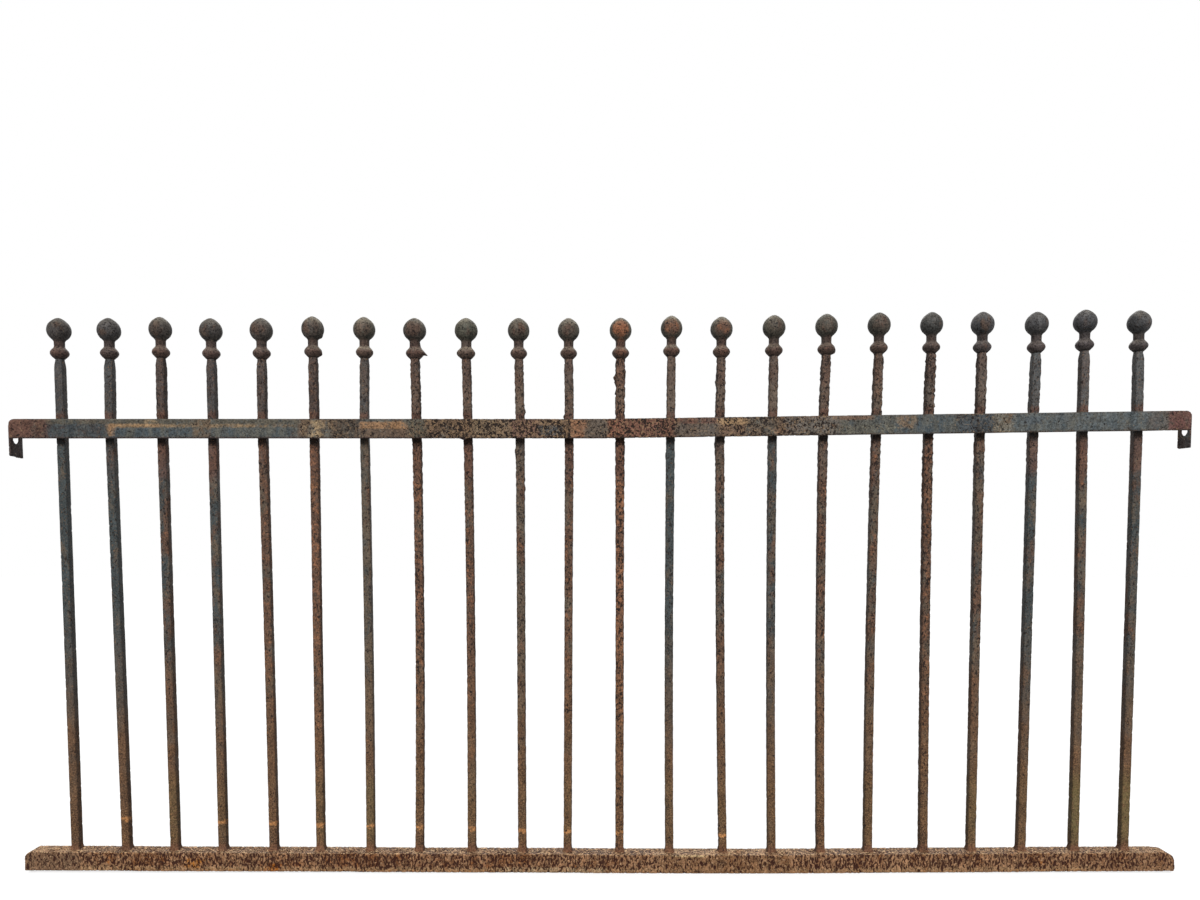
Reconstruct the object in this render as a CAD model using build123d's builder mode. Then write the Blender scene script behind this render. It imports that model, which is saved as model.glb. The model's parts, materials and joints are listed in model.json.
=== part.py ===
from build123d import *
import os
from math import acos, atan2, cos, hypot, pi, sin, sqrt, tan

# Wrought iron fence section: two angle-iron rails, square bars pinned between them, a cast ball on each bar.
# X runs along the fence, Y towards its back and Z up. The origin is the centre of the left bolt hole,
# on the outer face of the left lug, midway through the depth of the rails.

# Layout along the fence
bar_count = 22
bar_pitch = 100.0
end_margin = 92.0          # end of a rail to the centre of the outermost bar
rail_spacing = 858.9       # lowest top of the bottom rail to the top of the top rail's left half

# Rolled equal angle of both rails: one leg is the front face, the other is the web that the bars pierce
leg_width = 38.0
leg_thickness = 4.0
root_radius = 3.0          # hollow where the legs meet

# The right half of the top rail is bent upwards
bend_place = 1140.0        # left end of the rail to the bend
bend_rise = 15.8           # how far the right end stands above the left end
bend_radius = 600.0        # of both rails' bends

# The bottom rail sags towards its middle
sag_place = 1440.0         # left end of the rail to its lowest place
sag_left = 6.5             # how far each end stands above the lowest place
sag_right = 5.5

# Lugs of the top rail: the web turned down at both ends and drilled for a bolt
lug_height = 71.5          # top of the rail to the foot of the lug
left_lug_slant = 3.5       # how much lower the foot of the left lug is at the back
lug_bend_radius = 7.5      # inside the turn
lug_hole_radius = 9.0
lug_hole_drop = 37.4       # top of the rail to the centre of the hole
lug_corner_radius = 5.0    # rounded lower corner, at the front on the left and at the back on the right

# Ends of the bottom rail: the web is turned down as far as the edge of the front leg
left_end_bend_radius = 4.0
right_end_bend_radius = 29.0

# Square bars
bar_side = 16.0
bar_corner_cut = 1.5       # worn corners, as flats
bar_setback = 24.0         # front face of the rails to the middle of the bars
bar_above_rail = 117.2     # top of the top rail to the seat of the ball
punch_clearance = 0.4      # each side of a bar in its square hole

# The upper end of a bar is hammered from square to eight-sided under its ball, with a square spigot
shoulder_height = 15.0
spigot_side = 9.0
spigot_height = 18.0

# The lower end of a bar is upset to a foot, with a square tenon hammered over below the web
foot_height = 7.0
foot_spread = 2.5          # how far the foot stands out on each side
tenon_side = 9.0
tenon_clearance = 0.2
peen_radius = 8.5
peen_height = 3.5
peen_top_radius = 4.5

# Cast ball finial, measured from its seat on the bar
ball_radius = 20.9
ball_centre_height = 54.5
tip_rise = 4.0             # how far the drawn-up tip stands above the round of the ball
tip_shoulder_radius = 9.5  # where the slope of the tip breaks to its blunt end
tip_shoulder_drop = 4.0    # top of the tip down to that break
neck_radius = 9.1
collar_radius = 15.8
collar_rim = 4.0           # height of the blunt rim, the widest part of the collar
collar_height = 11.0       # seat to the middle of the rim
collar_top_height = 22.5
collar_seat_radius = 8.8
socket_clearance = 0.2
socket_depth = 20.0

# The bars were set by hand. These are the distances of each bar from its even place, along the fence,
# at the seat of its ball, at the hole in the top rail and at its foot on the bottom rail.
stray_at_seat = (
    -1, -4, -4, -6, -8, -8, -8, -10, -10, -8, -11,
    -10, -11, -14, -12, -10, -8, -6, -7, -2, -8, -3,
)
stray_at_rail = (
    -1, -6, -5, -6, -9, -8, -10, -8, -8, -6, -10,
    -11, -12, -16, -13, -14, -10, -9, -8, -4, -8, -1,
)
stray_at_foot = (
    0, 1, -2, -6, -4, -10, -10, -12, -7, -6, -15,
    -11, -11, -4, -6, -8, -13, -2, -6, -6, 0, 0,
)

# How much higher each ball sits than bar_above_rail
stray_in_height = (
    0, 0, 2, -0.5, 0, 3, 2, 0, 0, 0, 0,
    0, 2.5, -0.5, 1, 2, 3, 2.5, 1.5, 0, 3, 0,
)

# Places that follow from the sizes above
rail_length = 2 * end_margin + (bar_count - 1) * bar_pitch
front_y = -leg_width / 2
bar_y = front_y + bar_setback
top_rail_z = lug_hole_drop
bottom_rail_z = top_rail_z - rail_spacing
front_plane = Plane.XZ.offset(-front_y)
BACKWARDS = (0, 1, 0)
PAST = 1.0                 # how far a cutting shape runs past the face that it opens


def top_rail_height(x):
    """Top of the top rail, which is level as far as its bend."""
    return top_rail_z + bend_rise * max(0.0, x - bend_place) / (rail_length - bend_place)


def bottom_rail_height(x):
    """Top of the bottom rail, which runs straight from each end to its lowest place."""
    if x < sag_place:
        return bottom_rail_z + sag_left * (sag_place - x) / sag_place
    return bottom_rail_z + sag_right * (x - sag_place) / (rail_length - sag_place)


def bar_place(index, strays):
    """Distance along the fence from the left end to one bar, with its stray from the even place."""
    return end_margin + index * bar_pitch + strays[index % len(strays)]


def turned_line(height, drops, inset, turns, bend_x):
    """The web's line seen from the front, inset from its outer face.

    It rises at the left end, turns along the rail, bends once on its way and turns down at the right end.
    Drops are how far below the rail's top its two ends stop. Turns are the inside radii of the turns there.
    """
    right = rail_length - inset
    left_turn, right_turn = [turn + leg_thickness - inset for turn in turns]
    return FilletPolyline(
        (inset, height(0) - drops[0]),
        (inset, height(inset) - inset),
        (bend_x, height(bend_x) - inset),
        (right, height(right) - inset),
        (right, height(rail_length) - drops[1]),
        radius=[left_turn, bend_radius, right_turn],
    )


def web_face(height, drops, turns, bend_x):
    """The web and its turned-down ends as a strip of even thickness, seen from the front."""
    with BuildSketch(front_plane) as web:
        with BuildLine():
            outer = turned_line(height, drops, 0, turns, bend_x)
            inner = turned_line(height, drops, leg_thickness, turns, bend_x)
            Line(outer @ 0, inner @ 0)
            Line(outer @ 1, inner @ 1)
        make_face()
    return web.sketch


def front_leg_face(height, turns, bend_x):
    """The area under the web's outer line, down to the edge of the front leg."""
    with BuildSketch(front_plane) as leg:
        with BuildLine():
            top = turned_line(height, (leg_width, leg_width), 0, turns, bend_x)
            low_bend = (bend_x, height(bend_x) - leg_width)
            FilletPolyline(top @ 1, low_bend, top @ 0, radius=[bend_radius])
        make_face()
    return leg.sketch


def root_edges(rail, height):
    """The inside corner between the front leg and the web, turned-down ends included."""
    inner_y = front_y + leg_thickness
    return [
        edge
        for edge in rail.edges()
        if abs(edge.center().Y - inner_y) < 0.01
        and abs((edge @ 0).Y - inner_y) < 0.01
        and edge.center().Z > height(edge.center().X) - leg_width + 0.5
    ]


def lowest_edge(rail, from_x, to_x, side):
    """The lower edge of a lug that runs along the fence, on its front or back side."""
    foot = rail.edges().filter_by(Axis.X).filter_by_position(Axis.X, from_x, to_x)
    return foot.sort_by(Axis.Z)[:2].sort_by(Axis.Y)[side]


# Top rail
with BuildPart() as top_rail:
    lug_turns = (lug_bend_radius, lug_bend_radius)
    lug_drops = (lug_height + left_lug_slant, lug_height)
    top_web = web_face(top_rail_height, lug_drops, lug_turns, bend_place)
    extrude(top_web, amount=leg_width, dir=BACKWARDS)
    top_front = front_leg_face(top_rail_height, lug_turns, bend_place)
    extrude(top_front, amount=leg_thickness, dir=BACKWARDS)
    fillet(root_edges(top_rail, top_rail_height), root_radius)

    # The slanting foot of the left lug
    slant_front = front_y - PAST
    slant_back = -front_y + PAST
    slant = left_lug_slant / leg_width
    slant_top = top_rail_z - lug_height + PAST * slant
    slant_low = slant_top - (slant_back - slant_front) * slant
    with BuildSketch(Plane.YZ.offset(-PAST)):
        with BuildLine():
            Polyline(
                (slant_front, slant_top),
                (slant_back, slant_low),
                (slant_front, slant_low),
                close=True,
            )
        make_face()
    extrude(amount=leg_thickness + 2 * PAST, mode=Mode.SUBTRACT)

    # Rounded lower corners of the lugs
    fillet(lowest_edge(top_rail, 0, leg_thickness, 0), lug_corner_radius)
    fillet(
        lowest_edge(top_rail, rail_length - leg_thickness, rail_length, -1), lug_corner_radius
    )

    # Square holes that the bars pass through
    bar_hole_side = bar_side + 2 * punch_clearance
    with BuildSketch(Plane.XY.offset(top_rail_z + bend_rise + PAST)):
        with Locations([(bar_place(index, stray_at_rail), bar_y) for index in range(bar_count)]):
            Rectangle(bar_hole_side, bar_hole_side)
    extrude(amount=-(bend_rise + leg_thickness + 2 * PAST), mode=Mode.SUBTRACT)

    # Bolt holes of the lugs
    for end_x in (0, rail_length):
        hole_centre = (end_x, 0, top_rail_height(end_x) - lug_hole_drop)
        with Locations(Location(hole_centre, (0, 90, 0))):
            Cylinder(lug_hole_radius, 2 * (leg_thickness + PAST), mode=Mode.SUBTRACT)

# Bottom rail
with BuildPart() as bottom_rail:
    end_turns = (left_end_bend_radius, right_end_bend_radius)
    end_drops = (leg_width, leg_width)
    bottom_web = web_face(bottom_rail_height, end_drops, end_turns, sag_place)
    extrude(bottom_web, amount=leg_width, dir=BACKWARDS)
    bottom_front = front_leg_face(bottom_rail_height, end_turns, sag_place)
    extrude(bottom_front, amount=leg_thickness, dir=BACKWARDS)
    fillet(root_edges(bottom_rail, bottom_rail_height), root_radius)

    # Square holes for the tenons of the bars
    tenon_hole_side = tenon_side + 2 * tenon_clearance
    highest_end = max(sag_left, sag_right)
    with BuildSketch(Plane.XY.offset(bottom_rail_z + highest_end + PAST)):
        with Locations([(bar_place(index, stray_at_foot), bar_y) for index in range(bar_count)]):
            Rectangle(tenon_hole_side, tenon_hole_side)
    extrude(amount=-(highest_end + leg_thickness + 2 * PAST), mode=Mode.SUBTRACT)


def worn_square(centre, side, corner_cut):
    """A level square section with its corners cut off."""
    with BuildSketch(Plane(centre)) as section:
        Rectangle(side, side)
        chamfer(section.vertices(), corner_cut)
    return section.sketch


def make_bar(index):
    """One bar, from the peened head under the bottom rail to the spigot inside its ball."""
    foot_x = bar_place(index, stray_at_foot)
    hole_x = bar_place(index, stray_at_rail)
    seat_x = bar_place(index, stray_at_seat)
    seat_rise = bar_above_rail + stray_in_height[index % len(stray_in_height)]

    # The foot stands on the higher side of the sagging web, and the head is tight to the lower side
    foot_side = bar_side + 2 * foot_spread
    foot_edges = (foot_x - foot_side / 2, foot_x + foot_side / 2)
    head_edges = (foot_x - peen_radius, foot_x + peen_radius)
    foot_z = max(bottom_rail_height(x) for x in foot_edges)
    head_z = min(bottom_rail_height(x) for x in head_edges) - leg_thickness

    foot_top = Vector(foot_x, bar_y, foot_z + foot_height)
    in_hole = Vector(hole_x, bar_y, top_rail_height(hole_x) - leg_thickness / 2)
    seat = Vector(seat_x, bar_y, top_rail_height(hole_x) + seat_rise)
    lower_slope = (in_hole - foot_top) / (in_hole.Z - foot_top.Z)
    upper_slope = (seat - in_hole) / (seat.Z - in_hole.Z)
    shoulder = seat - upper_slope * shoulder_height

    with BuildPart() as bar:
        # The plain square length leans from the foot to the hole, and a little otherwise above it
        plain_section = worn_square(foot_top, bar_side, bar_corner_cut)
        extrude(plain_section, amount=(in_hole - foot_top).length, dir=lower_slope)
        upper_section = worn_square(in_hole, bar_side, bar_corner_cut)
        extrude(upper_section, amount=(shoulder - in_hole).length, dir=upper_slope)

        # Square to eight-sided below the ball
        eighth_cut = bar_side * (1 - tan(pi / 8)) / 2
        shoulder_section = worn_square(shoulder, bar_side, bar_corner_cut)
        loft([shoulder_section, worn_square(seat, bar_side, eighth_cut)], ruled=True)
        with BuildSketch(Plane(seat)):
            Rectangle(spigot_side, spigot_side)
        extrude(amount=spigot_height)

        # Spread foot on the bottom rail
        foot_seat = Vector(foot_x, bar_y, foot_z)
        foot_section = worn_square(foot_seat, foot_side, bar_corner_cut)
        loft([foot_section, plain_section], ruled=True)

        # Tenon through the web, and its head hammered over underneath
        with BuildSketch(Plane(foot_seat)):
            Rectangle(tenon_side, tenon_side)
        extrude(amount=head_z - foot_z)
        under_web = Vector(foot_x, bar_y, head_z)
        with BuildSketch(Plane(under_web)) as head_base:
            RegularPolygon(peen_radius, 8)
        with BuildSketch(Plane(under_web - Vector(0, 0, peen_height))) as head_top:
            RegularPolygon(peen_top_radius, 8)
        loft([head_base.sketch, head_top.sketch], ruled=True)
    return bar, seat


def make_finial(seat):
    """One cast ball with its neck and rounded collar, sitting on the seat of its bar."""
    # The tip is a blunt cone whose slope touches the ball at a tangent
    tip_reach = ball_radius + tip_rise
    shoulder_reach = tip_reach - tip_shoulder_drop
    touch_lean = atan2(tip_shoulder_radius, shoulder_reach)
    touch_lean += acos(ball_radius / hypot(tip_shoulder_radius, shoulder_reach))
    touch = (
        ball_radius * sin(touch_lean),
        ball_centre_height + ball_radius * cos(touch_lean),
    )
    neck_join = (neck_radius, ball_centre_height - sqrt(ball_radius**2 - neck_radius**2))
    with BuildPart() as finial:
        with BuildSketch(Plane(seat, x_dir=(1, 0, 0), z_dir=(0, -1, 0))):
            with BuildLine():
                Polyline(
                    (0, 0),
                    (collar_seat_radius, 0),
                    (collar_radius, collar_height - collar_rim / 2),
                    (collar_radius, collar_height + collar_rim / 2),
                    (neck_radius, collar_top_height),
                    neck_join,
                )
                ThreePointArc(neck_join, (ball_radius, ball_centre_height), touch)
                Polyline(
                    touch,
                    (tip_shoulder_radius, ball_centre_height + shoulder_reach),
                    (0, ball_centre_height + tip_reach),
                    (0, 0),
                )
            make_face()
        revolve(axis=Axis(seat, (0, 0, 1)))

        # Square socket over the spigot of the bar
        socket_side = spigot_side + 2 * socket_clearance
        with BuildSketch(Plane(seat)):
            Rectangle(socket_side, socket_side)
        extrude(amount=socket_depth, mode=Mode.SUBTRACT)
    return finial


os.makedirs("parts", exist_ok=True)

top_rail.part.label = "top_rail"
export_step(top_rail.part, "parts/top_rail.step")
bottom_rail.part.label = "bottom_rail"
export_step(bottom_rail.part, "parts/bottom_rail.step")
for index in range(bar_count):
    bar, seat = make_bar(index)
    bar.part.label = f"bar_{index + 1:02d}"
    export_step(bar.part, f"parts/{bar.part.label}.step")
    finial = make_finial(seat)
    finial.part.label = f"ball_finial_{index + 1:02d}"
    export_step(finial.part, f"parts/{finial.part.label}.step")
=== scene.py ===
import json
from math import cos, pi, radians, sin, tan, tau

import bmesh
import bpy
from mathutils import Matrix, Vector

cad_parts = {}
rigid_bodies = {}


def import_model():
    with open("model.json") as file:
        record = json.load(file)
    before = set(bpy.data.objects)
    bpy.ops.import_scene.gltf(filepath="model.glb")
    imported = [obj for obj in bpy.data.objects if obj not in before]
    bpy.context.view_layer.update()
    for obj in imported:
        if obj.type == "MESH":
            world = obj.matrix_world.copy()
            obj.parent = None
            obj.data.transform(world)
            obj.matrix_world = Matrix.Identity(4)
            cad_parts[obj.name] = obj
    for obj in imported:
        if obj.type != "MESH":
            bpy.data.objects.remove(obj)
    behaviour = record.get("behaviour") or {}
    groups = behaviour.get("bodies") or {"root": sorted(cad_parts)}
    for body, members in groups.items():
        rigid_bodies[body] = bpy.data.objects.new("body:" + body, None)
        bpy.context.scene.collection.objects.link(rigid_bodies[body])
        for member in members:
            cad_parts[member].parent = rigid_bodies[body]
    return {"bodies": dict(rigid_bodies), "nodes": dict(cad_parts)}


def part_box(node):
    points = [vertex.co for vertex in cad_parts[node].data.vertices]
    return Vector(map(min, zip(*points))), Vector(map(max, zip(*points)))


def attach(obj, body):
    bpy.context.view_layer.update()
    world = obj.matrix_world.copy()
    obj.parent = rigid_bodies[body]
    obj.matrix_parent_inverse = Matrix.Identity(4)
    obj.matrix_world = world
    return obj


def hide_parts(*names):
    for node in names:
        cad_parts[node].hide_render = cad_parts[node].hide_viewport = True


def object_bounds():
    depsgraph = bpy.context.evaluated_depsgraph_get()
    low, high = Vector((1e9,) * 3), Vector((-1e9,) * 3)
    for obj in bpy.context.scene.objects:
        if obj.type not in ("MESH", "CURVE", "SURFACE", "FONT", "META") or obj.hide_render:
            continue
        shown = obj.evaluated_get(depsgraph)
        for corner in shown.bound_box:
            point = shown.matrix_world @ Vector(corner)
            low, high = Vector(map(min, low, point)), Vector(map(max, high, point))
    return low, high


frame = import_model()
cad_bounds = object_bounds()

BODY = next(iter(frame["bodies"]))
BAR_COUNT = sum(name.startswith("bar_") for name in frame["nodes"])

# Sizes of the frame that the worn pieces follow, in metres
RAIL_DEPTH = 0.038
WEB_THICKNESS = 0.004
RAIL_TOP = 0.0374
BEND_PLACE = 1.140
BEND_RISE = 0.0158
RAIL_LENGTH = 2.284
BOTTOM_RAIL_TOP = -0.8215   # at its lowest place
SAG_PLACE = 1.440
SAG_LEFT = 0.0065
SAG_RIGHT = 0.0055
BAR_SIDE = 0.016
BAR_SETBACK = 0.005
SHOULDER_HEIGHT = 0.015
FOOT_HEIGHT = 0.010
FOOT_SPREAD = 0.0025
FOOT_SINK = 0.0015
ROUND_RADIUS = 0.0079
SEAT_DEPTH = 0.003
PEEN_HEIGHT = 0.0035
PEEN_RADIUS = 0.0085
PEEN_TOP_RADIUS = 0.0045
BALL_RADIUS = 0.0209
BALL_CENTRE_HEIGHT = 0.0545
BALL_START_ANGLE = -54   # where the ball rises from its neck, in degrees
TIP_RISE = 0.0039
NECK_RADIUS = 0.0095

# Fineness of the worn meshes, and the swell of the rails, in metres
RAIL_GRAIN = 0.002
RAIL_SWELL = 0.00015
BAR_STATION = 0.0035
BAR_RING_POINTS = 32
BALL_RING_POINTS = 48
BALL_STEP = 0.002
BALL_RISE_STEPS = 28

# The bars from left to right: how far rust has taken over, how scaly they are, how red they are
# just below the top rail, how blue their paint has stayed, and how far they bow to the right, in
# millimetres
BAR_RUST = (
    0.12, 0.15, 0.45, 0.40, 0.60, 0.75, 0.35, 0.70, 0.65, 0.45, 0.60,
    1.00, 0.10, 0.45, 0.35, 0.55, 0.50, 0.65, 0.50, 0.30, 0.45, 0.35,
)
BAR_SCALE = (
    0.10, 0.15, 0.30, 0.20, 0.35, 0.40, 0.30, 0.75, 0.60, 0.65, 0.60,
    1.00, 0.45, 0.80, 0.50, 0.70, 0.70, 0.95, 0.65, 0.45, 0.25, 0.20,
)
BAR_RED = (
    0.0, 0.2, 1.0, 1.0, 0.3, 0.5, 0.0, 0.6, 1.0, 0.1, 1.0,
    1.0, 0.0, 0.2, 0.0, 0.4, 0.2, 0.3, 0.1, 0.9, 0.8, 1.0,
)
BAR_BLUE = (
    0.9, 1.0, 0.7, 0.7, 0.2, 0.3, 0.2, 0.1, 0.1, 0.1, 0.1,
    0.0, 0.9, 0.3, 0.6, 0.3, 0.3, 0.1, 0.3, 0.8, 0.4, 0.7,
)
BAR_BOW = (0, 0, 0, 0, 1, 0, 2, 3.5, 2, 0, 0, 0, -2, -2, -2.5, -3, -3, -1, 0, 0, 2, 0)
# How much olive growth each bar has near its foot
BAR_OLIVE = (
    0.0, 0.0, 0.4, 0.2, 0.0, 0.3, 0.5, 0.1, 0.2, 0.1, 0.2,
    0.0, 0.2, 0.2, 0.1, 0.0, 0.2, 0.1, 0.5, 0.2, 1.0, 0.9,
)
# The balls from left to right: how far rust has taken over, how orange it is, how green the rest
BALL_RUST = (
    0.5, 0.4, 0.5, 0.5, 0.4, 0.5, 0.4, 0.7, 0.2, 0.5, 0.5,
    0.9, 0.8, 0.8, 0.3, 0.4, 0.4, 0.3, 0.4, 0.3, 0.3, 0.3,
)
BALL_ORANGE = (
    0.0, 0.0, 0.0, 0.0, 0.1, 0.1, 0.2, 0.1, 0.0, 0.1, 0.1,
    0.9, 0.4, 0.3, 0.1, 0.1, 0.1, 0.0, 0.0, 0.0, 0.0, 0.0,
)
BALL_GREEN = (
    0.0, 0.1, 0.0, 0.1, 0.2, 0.2, 0.6, 0.3, 1.0, 0.6, 0.6,
    0.6, 0.6, 0.6, 0.7, 0.7, 0.6, 0.5, 0.4, 0.2, 0.1, 0.2,
)
# How much pale dust and painted light from above lies on each ball, how slaty its coat is, and how much
# wider than deep it was cast
BALL_DUST_AND_TOP_LIGHT = (
    0.2, 0.2, 0.4, 0.3, 0.3, 0.6, 1.0, 0.4, 0.6, 0.4, 0.6,
    0.5, 0.7, 0.5, 0.5, 0.3, 0.2, 0.15, 0.2, 0.15, 0.2, 0.3,
)
BALL_SLATE = (
    0.1, 0.5, 0.0, 0.2, 0.2, 0.0, 0.0, 0.0, 0.0, 0.0, 0.0,
    0.0, 0.0, 0.0, 0.0, 0.1, 0.1, 0.5, 1.0, 0.8, 1.0, 1.0,
)
BALL_GIRTH = (
    1.04, 1.03, 1.01, 1.03, 1.04, 1.03, 1.02, 1.07, 1.07, 1.01, 1.01,
    1.03, 1.01, 1.04, 1.06, 1.04, 1.05, 1.02, 1.05, 1.03, 1.04, 1.04,
)
# How much slate paint each bar keeps above the top rail
BAR_SLATE = (
    0.8, 0.8, 0.8, 0.9, 0.9, 0.75, 0.6, 0.25, 0.25, 0.0, 0.2,
    0.0, 0.0, 0.1, 0.1, 0.2, 0.0, 0.4, 0.3, 0.9, 0.8, 0.9,
)
# Bars that a wire once tied near their feet, its height at the second bar and its fall from bar
# to bar. The height of no tie is beyond a bar's ends.
TIED_BARS = (2, 4, 5, 6, 7, 8, 9, 10, 11, 12, 14)
TIE_HEIGHT = -0.754
TIE_FALL = 0.00275
NO_TIE = 0.5

# How far each stretch of a rail is eaten away: its right end along the fence, and the wear, 0 to 1
TOP_RAIL_WEAR = (
    (0.077, 0.40), (0.360, 0.10), (0.392, 0.35), (0.560, 0.10), (0.606, 0.60), (0.680, 0.55),
    (0.768, 0.40), (0.810, 0.65), (1.090, 1.00), (1.150, 0.60), (1.289, 1.00), (1.374, 0.60),
    (1.474, 0.85), (1.605, 0.75), (1.700, 0.35), (1.829, 0.20), (1.937, 0.60), (2.225, 0.12),
    (2.300, 0.50),
)
BOTTOM_RAIL_WEAR = ((0.11, 0.70), (1.24, 1.0), (1.53, 0.80), (2.20, 1.0), (2.30, 0.85))

# Studio: the floor's reach, shade and glow to the camera, the sky's light, and the photo's camera
FLOOR_REACH = 9.0
FLOOR_SHADE = 0.40
FLOOR_GLOW = 0.66
SKY_LIGHT = 0.24
CAMERA_PLACE = (1.142, -1.72855, -0.15765)
CAMERA_TILT = radians(3.305)
CAMERA_LENS = 26.4
CAMERA_SHIFT_Y = 0.1007


def paint(red, green, blue):
    """A colour written as it looks, 0 to 255, in the linear values of a shader."""
    def linear(value):
        share = value / 255
        return share / 12.92 if share <= 0.04045 else ((share + 0.055) / 1.055) ** 2.4
    return (linear(red), linear(green), linear(blue), 1.0)


class Wiring:
    """Lays nodes in one tree. A value is a number, a colour, a vector or another node's output."""

    def __init__(self, tree):
        self.tree = tree

    def feed(self, socket, value):
        if isinstance(value, bpy.types.NodeSocket):
            self.tree.links.new(value, socket)
        else:
            socket.default_value = value

    def node(self, kind, values=None, **settings):
        made = self.tree.nodes.new(kind)
        for name, setting in settings.items():
            setattr(made, name, setting)
        for socket, value in (values or {}).items():
            self.feed(made.inputs[socket], value)
        return made

    def math(self, operation, first, second=0.0, third=0.0, clamp=False):
        values = {0: first, 1: second, 2: third}
        return self.node("ShaderNodeMath", values, operation=operation, use_clamp=clamp).outputs[0]

    def plus(self, first, second):
        return self.math("ADD", first, second)

    def less(self, first, second, clamp=False):
        """What is left of the first value when the second is taken away."""
        return self.math("SUBTRACT", first, second, clamp=clamp)

    def times(self, first, second, clamp=False):
        return self.math("MULTIPLY", first, second, clamp=clamp)

    def linear(self, value, slope, start):
        """The slope times the value, and the start added."""
        return self.math("MULTIPLY_ADD", value, slope, start)

    def vector(self, operation, first, second=(0.0, 0.0, 0.0)):
        made = self.node("ShaderNodeVectorMath", {0: first, 1: second}, operation=operation)
        return made.outputs["Value" if operation == "DISTANCE" else "Vector"]

    def scaled(self, vector, factor):
        made = self.node("ShaderNodeVectorMath", {0: vector, "Scale": factor}, operation="SCALE")
        return made.outputs["Vector"]

    def axes(self, vector):
        return self.node("ShaderNodeSeparateXYZ", {0: vector}).outputs

    def step(self, value, low, high):
        """0 at low, 1 at high and a smooth run between them."""
        values = {"Value": value, "From Min": low, "From Max": high}
        return self.node("ShaderNodeMapRange", values, interpolation_type="SMOOTHSTEP").outputs[0]

    def between(self, value, low, high, blur):
        """1 from low to high, fading to 0 over the blur on each side."""
        rise = self.step(value, low - blur, low + blur)
        return self.times(rise, self.step(value, high + blur, high - blur))

    def covering(self, grain, share, blur=0.04):
        """1 over about a share of the surface, where the noise is highest."""
        rim = self.linear(share, -0.44, 0.72)
        return self.step(grain, self.less(rim, blur), self.plus(rim, blur))

    def noise(self, place, size, detail=2.0, roughness=0.5, distortion=0.0):
        """Smooth noise about 0.5 whose features are about one size across, in metres."""
        scale = self.math("DIVIDE", 1.0, size)
        values = {
            "Vector": place, "Scale": scale, "Detail": detail,
            "Roughness": roughness, "Distortion": distortion,
        }
        return self.node("ShaderNodeTexNoise", values, noise_dimensions="3D").outputs[0]

    def mix(self, share, under, over, blend="MIX"):
        values = {0: share, 6: under, 7: over}
        return self.node("ShaderNodeMix", values, data_type="RGBA", blend_type=blend).outputs[2]


def pit_field(wire, place, size, stretch, share):
    """Pits in iron: 1 in a pit's middle, 0 on sound metal. Rain has drawn them out downwards."""
    upwards = wire.math("DIVIDE", 1.0, stretch)
    across = wire.node("ShaderNodeCombineXYZ", {0: 1.0, 1: 1.0, 2: upwards})
    drawn = wire.vector("MULTIPLY", place, across.outputs[0])
    grain = wire.noise(drawn, size, detail=1.5, distortion=0.8)
    rim = wire.linear(share, -0.28, 0.74)
    return wire.step(grain, rim, wire.plus(rim, 0.06))


# Kinds of socket
NUMBER, COUNT, COLOUR = "NodeSocketFloat", "NodeSocketInt", "NodeSocketColor"
PLACE, MESH, MATERIAL = "NodeSocketVector", "NodeSocketGeometry", "NodeSocketMaterial"

# Shader groups


def new_group(name, kind, inputs, outputs):
    """An empty node group with its named sockets, and the wiring to fill it."""
    tree = bpy.data.node_groups.new(name, kind)
    for label, socket_type, value in inputs:
        socket = tree.interface.new_socket(label, in_out="INPUT", socket_type=socket_type)
        if value is not None:
            socket.default_value = value
    for label, socket_type in outputs:
        tree.interface.new_socket(label, in_out="OUTPUT", socket_type=socket_type)
    wire = Wiring(tree)
    return tree, wire, wire.node("NodeGroupInput").outputs, wire.node("NodeGroupOutput").inputs


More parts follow.
